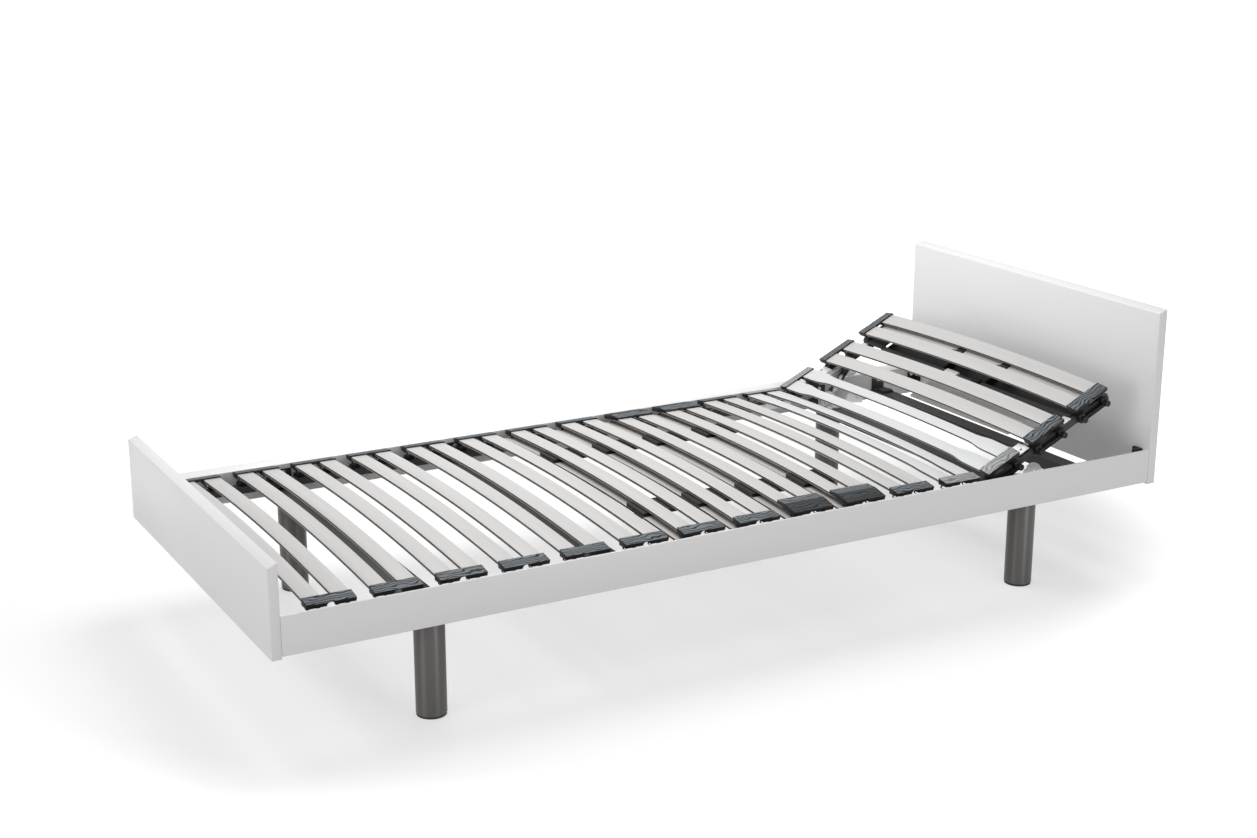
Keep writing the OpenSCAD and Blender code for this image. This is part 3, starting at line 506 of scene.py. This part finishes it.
lastFixed, lastPair = 12, 15
pairX = [nodeMiddle(f"slat_pair_{n:02d}") for n in range(1, lastFixed + 1)]
evenSteps = 9  # the first ten pairs stand at one pitch, and the pairs of the head section keep it
pitch = (pairX[evenSteps] - pairX[0]) / evenSteps
pairX += [hinge.x + slats["headFirst"] + pitch * k for k in range(lastPair - lastFixed)]


def inPlace(n, shift=(0, 0, 0)):
    # the matrix that carries a piece from the bed's middle to pair n, raised on the head section
    move = Matrix.Translation(Vector((pairX[n - 1], 0, 0)) + Vector(shift))
    return headSwing @ move if n > lastFixed else move


def bodyOf(n):
    return "head_section" if n > lastFixed else "base"


def makeStrip(name, size, topAt, waist=None):
    # a bowed strip whose top is at topAt(y), drawn in to the waist's width in the middle
    width, thickness, halfLength = size["width"], size["thickness"], size["halfLength"]
    strip = block(name, (-width / 2, -halfLength, -thickness), (width / 2, halfLength, 0))
    editSelection(strip, "EDGE", lambda a, b: abs(a.z - b.z) > thickness / 2)
    bpy.ops.mesh.subdivide(number_cuts=1)
    leaveEdit()
    lineUp = thickness / 2 - slats["darkLine"]
    moveVerts(strip, lambda c: abs(c.z + thickness / 2) < onPlane, (0, 0, lineUp))
    editSelection(strip, "EDGE", lambda a, b: abs(a.y - b.y) > halfLength)
    bpy.ops.mesh.subdivide(number_cuts=size["rings"])
    leaveEdit()
    for y in sorted({round(v.co.y, 5) for v in strip.data.vertices}):
        editSelection(strip, "VERT", lambda c: abs(c.y - y) < onPlane)
        bpy.ops.transform.translate(value=(0, 0, topAt(y)))
        if waist:
            t = (slats["waistFrom"] - abs(y)) / (slats["waistFrom"] - slats["waistTo"])
            t = min(1, max(0, t))
            t = t * t * (3 - 2 * t)  # eased in and out
            bpy.ops.transform.resize(value=(1 + t * (waist / width - 1), 1, 1))
        leaveEdit()
    return roundEdges(strip, size["edge"], segments=3)


def dressStrip(strip, top, topAt):
    # veneer on top, a plain underside, and a dark band of painted shade along the upper part of the sides
    dress(strip, finishes[top], finishes["paintedShadeEdge"], finishes["underVeneer"])
    faceMaterial(strip, 2, lambda c, n: n.z < slats["facingUp"])
    faceMaterial(strip, 1, lambda c, n: n.z < slats["facingUp"] and c.z > topAt(c.y) - slats["darkLine"])


plainSlat = makeStrip("plainSlat", slats, slatTop)
beforeSlat = makeStrip("beforeSlat", slats, slatTop, slats["waistBefore"])
afterSlat = makeStrip("afterSlat", slats, slatTop, slats["waistAfter"])
for source, top in ((plainSlat, "veneer"), (beforeSlat, "coolVeneer"), (afterSlat, "coolVeneer")):
    dressStrip(source, top, slatTop)
byHinge = {lastFixed: beforeSlat, lastFixed + 1: afterSlat}
for n in range(1, lastPair + 1):
    source = byHinge.get(n, plainSlat)
    step = slats["hingeStep"] if n in byHinge else slats["step"]
    both = [copyAt(source, f"slat{n}{k}", inPlace(n, (k * step / 2, 0, 0))) for k in (-1, 1)]
    place(joined(f"slats{n:02d}", both), bodyOf(n), "slat_wood", f"slat_pair_{n:02d}")
remove(plainSlat, beforeSlat, afterSlat)
print("slats made")


# rubber caps on the slats' ends: flat, raised over the shoulders, and grey by the hinge
caps = dict(length=0.096, hingeLength=0.091, outer=0.408, inner=0.378, bottom=0.268, top=0.282,
            outerTop=0.2770, outerTuck=0.003, edge=0.0007, facingUp=0.55,
            notchWidth=0.017, notchHeight=0.0075, notchRound=0.0055,
            shoulderInner=0.341, shoulderCrease=0.3698, shoulderRise=0.0035, shoulderOuterTop=0.2775,
            shoulderNotchHeight=0.004, shoulderNotchRound=0.0035, wedge=(0.0125, 0.005))


def makeCap(name, length, raised=False):
    # the top falls towards the rail; on a raised cap it is level as far as a crease
    inner = caps["shoulderInner" if raised else "inner"]
    outerTop = caps["shoulderOuterTop" if raised else "outerTop"]
    top = caps["top"] + (caps["shoulderRise"] if raised else 0)
    cap = block(name, (-length / 2, inner, caps["bottom"]), (length / 2, caps["outer"], top))
    if raised:
        editSelection(cap, "EDGE", lambda a, b: abs(a.y - b.y) > (caps["outer"] - inner) / 2)
        bpy.ops.mesh.subdivide(number_cuts=1)
        leaveEdit()
        middle = (inner + caps["outer"]) / 2
        moveVerts(cap, lambda c: abs(c.y - middle) < onPlane, (0, caps["shoulderCrease"] - middle, 0))
    atOuter = caps["outer"] - onPlane
    atBottom = caps["bottom"] + onPlane
    moveVerts(cap, lambda c: c.y > atOuter and c.z > atBottom, (0, 0, outerTop - top))
    moveVerts(cap, lambda c: c.y > atOuter and c.z < atBottom, (0, -caps["outerTuck"], 0))
    if raised:
        for y, up in zip((inner, caps["shoulderCrease"]), caps["wedge"]):
            moveVerts(cap, lambda c: abs(c.y - y) < onPlane and c.z < atBottom, (0, 0, up))
    notchTop = caps["bottom"] + caps["shoulderNotchHeight" if raised else "notchHeight"]
    cutter = block("notch", (-caps["notchWidth"] / 2, inner - beyond, caps["bottom"] - beyond),
                   (caps["notchWidth"] / 2, caps["outer"] + beyond, notchTop))
    roundEdges(cutter, caps["shoulderNotchRound" if raised else "notchRound"], segments=5)
    cutAway(cap, cutter)
    return roundEdges(cap, caps["edge"], angle=25)


def capSet(name, pairs, source, slotName, top, nodeName, shadeSlope=False):
    # one piece of all caps of a kind, left and right, on one body
    dress(source, finishes[top], finishes["blackPlastic"], finishes["paintedSlopeShade"])
    faceMaterial(source, 1, lambda c, n: n.z < caps["facingUp"])
    # the top's faces beyond the crease get the painted shade finish
    if shadeSlope:
        faceMaterial(source, 2, lambda c, n: n.z > caps["facingUp"] and c.y > caps["shoulderCrease"])
    parts = []
    for n in pairs:
        for side, turn in (("Left", Matrix()), ("Right", mirrorY)):
            parts.append(copyAt(source, f"cap{n}{side}", inPlace(n) @ turn))
    place(joined(name, parts), bodyOf(pairs[0]), slotName, nodeName)


flatCap = makeCap("flatCap", caps["length"])
hingeCap = makeCap("hingeCap", caps["hingeLength"])
shoulderCap = makeCap("shoulderCap", caps["length"], raised=True)
capSet("flatCaps", [1, 2, 3, 4, 5, 6, 7, 8, 11], flatCap, "cap_dark", "capDark", "flat_caps")
capSet("shoulderCaps", [9, 10], shoulderCap, "cap_dark", "capDark", "shoulder_caps", shadeSlope=True)
capSet("hingeCapsFixed", [12], hingeCap, "cap_grey", "capGrey", "hinge_caps_fixed")
capSet("hingeCapsHead", [13], hingeCap, "cap_grey", "capGrey", "hinge_caps_head")
capSet("headCaps", [14, 15], flatCap, "cap_dark", "capDark", "head_caps")
remove(flatCap, hingeCap, shoulderCap)
print("caps made")


# holders on the side members, with knobs outside and hoops under the caps
holders = dict(half=0.042, postFrom=0.026, memberOut=0.392, outer=0.404, bottom=0.236, top=0.2569,
               tieTop=0.244, tieEdge=0.0008, grooveRim=0.002, grooveEnd=0.003,
               postSink=0.001, postRound=0.003, postEdge=0.0006,
               saddleIn=0.380, saddleOut=0.3925, saddleBottom=0.2521, saddleTop=0.2567, saddleEdge=0.001,
               collarIn=0.4035, collarOut=0.4056, collarRadius=0.0078, collarEdge=0.0005,
               knobX=0.034, knobZ=0.243, knobRadius=0.0072, knobEnd=0.413, knobRim=0.0026, knobDish=0.0012,
               knobEdge=0.0012, hoopX=0.02825, hoopY=0.3845, hoopHalf=0.0145, hoopWire=0.00115,
               hoopBroad=2.2, hoopGap=0.0002)


def makeTie():
    h = holders
    tie = block("holderTie", (-h["half"], h["memberOut"], h["bottom"]), (h["half"], h["outer"], h["tieTop"]))
    grooveHalf = h["postFrom"] - h["grooveEnd"]
    groove = block("tieGroove", (-grooveHalf, h["outer"] - h["grooveRim"], h["bottom"] + h["grooveRim"]),
                   (grooveHalf, h["outer"] + h["grooveRim"], h["tieTop"] - h["grooveRim"]))
    cutAway(tie, groove)
    return roundEdges(tie, h["tieEdge"])


def makePost(low, high):
    # a post with a rounded outer top edge, and the saddle that lies on the side member
    h = holders
    post = block("post", (low, h["memberOut"], h["tieTop"] - h["postSink"]), (high, h["outer"], h["top"]))
    atOuter, atTop = h["outer"] - onPlane, h["top"] - onPlane
    editSelection(post, "EDGE", lambda a, b: min(a.y, b.y) > atOuter and min(a.z, b.z) > atTop)
    bpy.ops.mesh.bevel(offset=h["postRound"], segments=4, affect="EDGES")
    leaveEdit()
    roundEdges(post, h["postEdge"])
    saddle = block("saddle", (low, h["saddleIn"], h["saddleBottom"]), (high, h["saddleOut"], h["saddleTop"]))
    return [post, roundEdges(saddle, h["saddleEdge"])]


def makeKnob(x):
    # a dished knob on a collar
    h = holders
    collar = rod("collar", (x, h["collarIn"], h["knobZ"]), (x, h["collarOut"], h["knobZ"]), h["collarRadius"])
    roundEdges(collar, h["collarEdge"])
    knob = rod("knob", (x, h["outer"], h["knobZ"]), (x, h["knobEnd"], h["knobZ"]), h["knobRadius"])
    editSelection(knob, "FACE", lambda c, n: n.y > facing)
    bpy.ops.mesh.inset(thickness=h["knobRim"])
    bpy.ops.transform.translate(value=(0, -h["knobDish"], 0))
    leaveEdit()
    return [collar, roundEdges(knob, h["knobEdge"], segments=3)]


def makeHoop(x):
    # carries one slat's end between the holder and its cap
    h = holders
    hoop = ring("hoop", h["hoopHalf"], h["hoopWire"])
    tall = (caps["bottom"] - h["top"]) / 2
    flat = (tall - h["hoopGap"]) / (h["hoopHalf"] + h["hoopWire"])
    move = Matrix.Translation((x, h["hoopY"], h["top"] + tall))
    hoop.data.transform(move @ Matrix.Diagonal((1, h["hoopBroad"], flat, 1)))
    smooth(hoop, angle=60)
    return [hoop]


parts = [makeTie()]
for side in (-1, 1):
    parts += makePost(*sorted((side * holders["postFrom"], side * holders["half"])))
    parts += makeKnob(side * holders["knobX"])
    parts += makeHoop(side * holders["hoopX"])
holder = joined("holder", parts)
dress(holder, finishes["blackPlastic"])
for name, pairs, nodeName in (("holdersFixed", range(1, lastFixed + 1), "suspension_fixed"),
                              ("holdersHead", range(lastFixed + 1, lastPair + 1), "suspension_head")):
    copies = []
    for n in pairs:
        for k, turn in enumerate((Matrix(), mirrorY)):
            copies.append(copyAt(holder, f"holder{n}{k}", inPlace(n) @ turn))
    place(joined(name, copies), bodyOf(pairs[0]), "black_plastic", nodeName)
remove(holder)
print("holders made")


# flat slats under the pairs that carry sliders, and one under the head section's top pair
under = dict(width=0.038, thickness=0.005, halfLength=0.392, rings=40, edge=0.0015, drop=0.0155,
             shift=0.039, pairs=(7, 8, 9, 10), headThickness=0.006, headTop=0.2632, headShift=0.020)
headRise = under["headTop"] - slatTop(under["halfLength"])


def underTop(y):
    return slatTop(y) - under["drop"]


def headUnderTop(y):
    return slatTop(y) + headRise


underSlat = makeStrip("underSlat", under, underTop)
headUnder = makeStrip("headUnder", {**under, "thickness": under["headThickness"]}, headUnderTop)
dressStrip(underSlat, "underVeneer", underTop)
dressStrip(headUnder, "underVeneer", headUnderTop)
row = [copyAt(underSlat, f"under{n}", inPlace(n, (-under["shift"], 0, 0))) for n in under["pairs"]]
place(joined("underSlats", row), "base", "under_wood", "under_slats")
headUnderSlat = copyAt(headUnder, "headUnderSlat", inPlace(lastPair, (under["headShift"], 0, 0)))
place(headUnderSlat, "head_section", "under_wood", "head_under_slats")
remove(underSlat, headUnder)
print("adjuster slats made")


# round legs and their floor pads
legs = dict(x=(-0.706, 0.711), y=0.375, radius=0.030, top=0.204, seam=0.0044, rim=0.002, hollow=0.004,
            edge=0.0009, padRadius=0.0292, padRim=0.004, padHollow=0.0006, padEdge=0.0007)


def makeLeg():
    # a tube with a rim at both ends, hollowed from below
    tube = rod("tube", (0, 0, legs["seam"]), (0, 0, legs["top"]), legs["radius"], sides=96)
    editSelection(tube, "FACE", lambda c, n: abs(n.z) > facing)
    bpy.ops.mesh.inset(thickness=legs["rim"])
    leaveEdit()
    atBottom, inRim = legs["seam"] + onPlane, legs["radius"] - legs["rim"] / 2
    moveVerts(tube, lambda c: c.z < atBottom and math.hypot(c.x, c.y) < inRim, (0, 0, legs["hollow"]))
    return roundEdges(tube, legs["edge"], segments=3)


def makePad():
    pad = rod("pad", (0, 0, 0), (0, 0, legs["seam"]), legs["padRadius"], sides=96)
    editSelection(pad, "FACE", lambda c, n: n.z < -facing)
    bpy.ops.mesh.inset(thickness=legs["padRim"])
    bpy.ops.transform.translate(value=(0, 0, legs["padHollow"]))
    leaveEdit()
    return roundEdges(pad, legs["padEdge"], segments=3)


for name, source, slotName, nodeName in (("legTubes", makeLeg(), "leg_steel", "legs"),
                                         ("floorPads", makePad(), "pad_rubber", "leg_pads")):
    dress(source, finishes[slotFinish[slotName]])
    corners = [Matrix.Translation((x, y, 0)) for x in legs["x"] for y in (-legs["y"], legs["y"])]
    four = [copyAt(source, f"{name}{k}", corner) for k, corner in enumerate(corners)]
    place(joined(name, four), "base", slotName, nodeName)
    remove(source)
print("legs made")


# plugs in the open ends of the side members
plugs = dict(inner=0.3722, outer=0.3918, bottom=0.2362, top=0.2518, lip=0.0022, rim=0.003, dish=0.0008,
             stemIn=0.0024, stem=0.012, edge=0.0005, fixedEnd=-0.950, headEnd=0.960)


def makePlug(name, start, outward):
    # a dished lip at the member's end, with a stem that goes into it
    end = start + outward * plugs["lip"]
    plug = block(name, (min(start, end), plugs["inner"], plugs["bottom"]),
                 (max(start, end), plugs["outer"], plugs["top"]))
    editSelection(plug, "FACE", lambda c, n: n.x * outward > facing)
    bpy.ops.mesh.inset(thickness=plugs["rim"])
    bpy.ops.transform.translate(value=(-outward * plugs["dish"], 0, 0))
    leaveEdit()
    editSelection(plug, "FACE", lambda c, n: n.x * outward < -facing)
    bpy.ops.mesh.inset(thickness=plugs["stemIn"])
    bpy.ops.mesh.extrude_region_move(TRANSFORM_OT_translate={"value": (-outward * plugs["stem"], 0, 0)})
    leaveEdit()
    roundEdges(plug, plugs["edge"])
    dress(plug, finishes["blackPlastic"])
    return plug


for name, start, outward, swing, body in (("plugsFoot", plugs["fixedEnd"], -1, Matrix(), "base"),
                                          ("plugsHead", plugs["headEnd"], 1, headSwing, "head_section")):
    source = makePlug(name, start, outward)
    two = [copyAt(source, f"{name}{k}", swing @ turn) for k, turn in enumerate((Matrix(), mirrorY))]
    place(joined(name, two), body, "black_plastic")
    remove(source)
print("plugs made")


# width of the rounded edge on each fitting that is shown as it is built
edgeWidths = {
    "leg_beams": 0.002, "cross_bars": 0.002, "frame_sides": 0.0016, "head_sides": 0.0016,
    "head_channel": 0.0012, "angle_brackets": 0.0006, "corner_brackets": 0.001, "bar_pads": 0.0008,
    "bracket_screws": 0.0006, "hinge_plates": 0.0005, "hinge_bolts": 0.0008, "head_clips": 0.0006,
    "channel_plates": 0.0005, "support_plate": 0.001, "guide_rails": 0.0004, "ratchet_brackets": 0.0005,
    "ratchet_discs": 0.0003, "arm_pivots": 0.0007, "lift_arm_right": 0.0006, "lift_arm_left": 0.0006,
    "pawl_right": 0.0005, "pawl_left": 0.0005,
}
for n in under["pairs"]:
    edgeWidths[f"slider_{n:02d}_right"] = edgeWidths[f"slider_{n:02d}_left"] = 0.0008
for nodeName, width in edgeWidths.items():
    addBevel(cadNode[nodeName], width, segments=2, angle=40)
print("fittings' edges rounded")


# lacquered panels of the surround
panels = dict(slant=0.008, edge=0.0016)

# the top of each panel slants down to one face, the low or the high one on that axis
low, high = 0, 1
slants = (("footPanel", "footboard", 0, low), ("headPanel", "headboard", 0, low),
          ("railLeft", "side_rail_left", 1, low), ("railRight", "side_rail_right", 1, high))
for name, nodeName, axis, face in slants:
    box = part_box(nodeName)
    panel = block(name, *box)
    atTop, facePlane = box[high][2] - onPlane, box[face][axis]
    moveVerts(panel, lambda c: c.z > atTop and abs(c[axis] - facePlane) < onPlane, (0, 0, -panels["slant"]))
    roundEdges(panel, panels["edge"], segments=3, angle=20)
    dress(panel, finishes["lacquer"])
    place(panel, "base", "lacquer", nodeName)
print("panels made")


shot = dict(place=(-2.0488, -3.5610, 1.5938), yaw=0.5069, pitch=0.28656, lens=56.6549, sensor=36,
            farthest=200)
bpy.ops.object.camera_add(location=shot["place"], rotation=(math.pi / 2 - shot["pitch"], 0, -shot["yaw"]))
camera = bpy.context.object
camera.data.sensor_width = shot["sensor"]
camera.data.lens = shot["lens"]
camera.data.clip_end = shot["farthest"]
bpy.context.scene.camera = camera

light = dict(sky=0.52, aim=(0, 0, 0.25), lamps={
    "overHead": dict(place=(-0.1, 0.5, 1.9), size=1.5, power=32),
    "footFill": dict(place=(-5.0, -1.4, 1.1), size=2.5, power=62),
    "sideBox": dict(place=(1.1, -4.5, 0.9), size=1.2, power=40),
})
for name, settings in light["lamps"].items():
    bpy.ops.object.light_add(type="AREA", location=settings["place"])
    lamp = bpy.context.object
    lamp.name = name
    lamp.data.energy = settings["power"]
    lamp.data.shape = "DISK"
    lamp.data.size = settings["size"]
    lamp.visible_camera = False
    aim = Vector(light["aim"]) - Vector(settings["place"])
    lamp.rotation_euler = aim.to_track_quat("-Z", "Y").to_euler()


def seenDirectly(tree):
    # one for rays that the camera sees straight, mirrored or through a pane, nought for light on things
    rays = node(tree, "LightPath").outputs
    mirrored = mathNode(tree, "MAXIMUM", rays["Is Glossy Ray"], rays["Is Transmission Ray"])
    return mathNode(tree, "MAXIMUM", rays["Is Camera Ray"], mirrored)


world = bpy.data.worlds.new("studio")
bpy.context.scene.world = world
world.use_nodes = True
tree = world.node_tree
sky = tree.nodes["Background"]
sky.inputs["Color"].default_value = (1, 1, 1, 1)
tree.links.new(remap(tree, seenDirectly(tree), toRange=(light["sky"], 1)), sky.inputs["Strength"])

# the floor has a painted glow for the camera: weak round the bed, where the floor shows its shadows, and rising
# further off to plain white
floorLook = dict(size=60, top=-0.0005, shade=0.46, bounce=0.5, glow=0.53, roughness=0.9,
                 clearCentre=(-0.1, 0.25, 0), clearSpan=(1.55, 1.25, 1), clearFrom=0.80, clearTo=1.11)
bpy.ops.mesh.primitive_plane_add(size=floorLook["size"], location=(0, 0, floorLook["top"]))
floor = bpy.context.object
floor.name = "floor"
paleFloor = bpy.data.materials.new("paleFloor")
paleFloor.use_nodes = True
tree = paleFloor.node_tree
shader = tree.nodes["Principled BSDF"]
shader.inputs["Roughness"].default_value = floorLook["roughness"]
shader.inputs["Specular IOR Level"].default_value = 0.0
shader.inputs["Emission Color"].default_value = (1, 1, 1, 1)
seen = seenDirectly(tree)
spot = node(tree, "TexCoord").outputs["Object"]
fromCentre = vectorNode(tree, "SUBTRACT", spot, floorLook["clearCentre"])
away = vectorNode(tree, "LENGTH", vectorNode(tree, "DIVIDE", fromCentre, floorLook["clearSpan"]))
# painted glow: weak within the span round the bed, full beyond it
paintedGlow = remap(tree, away, (floorLook["clearFrom"], floorLook["clearTo"]), (floorLook["glow"], 1),
             interpolation_type="SMOOTHSTEP")
tree.links.new(mathNode(tree, "MULTIPLY", seen, paintedGlow), shader.inputs["Emission Strength"])
bounce, shade = ((floorLook[key],) * 3 + (1,) for key in ("bounce", "shade"))
tree.links.new(mixColour(tree, seen, bounce, shade), shader.inputs["Base Color"])
floor.data.materials.append(paleFloor)

bpy.context.scene.view_settings.view_transform = "Standard"
print("stage set")
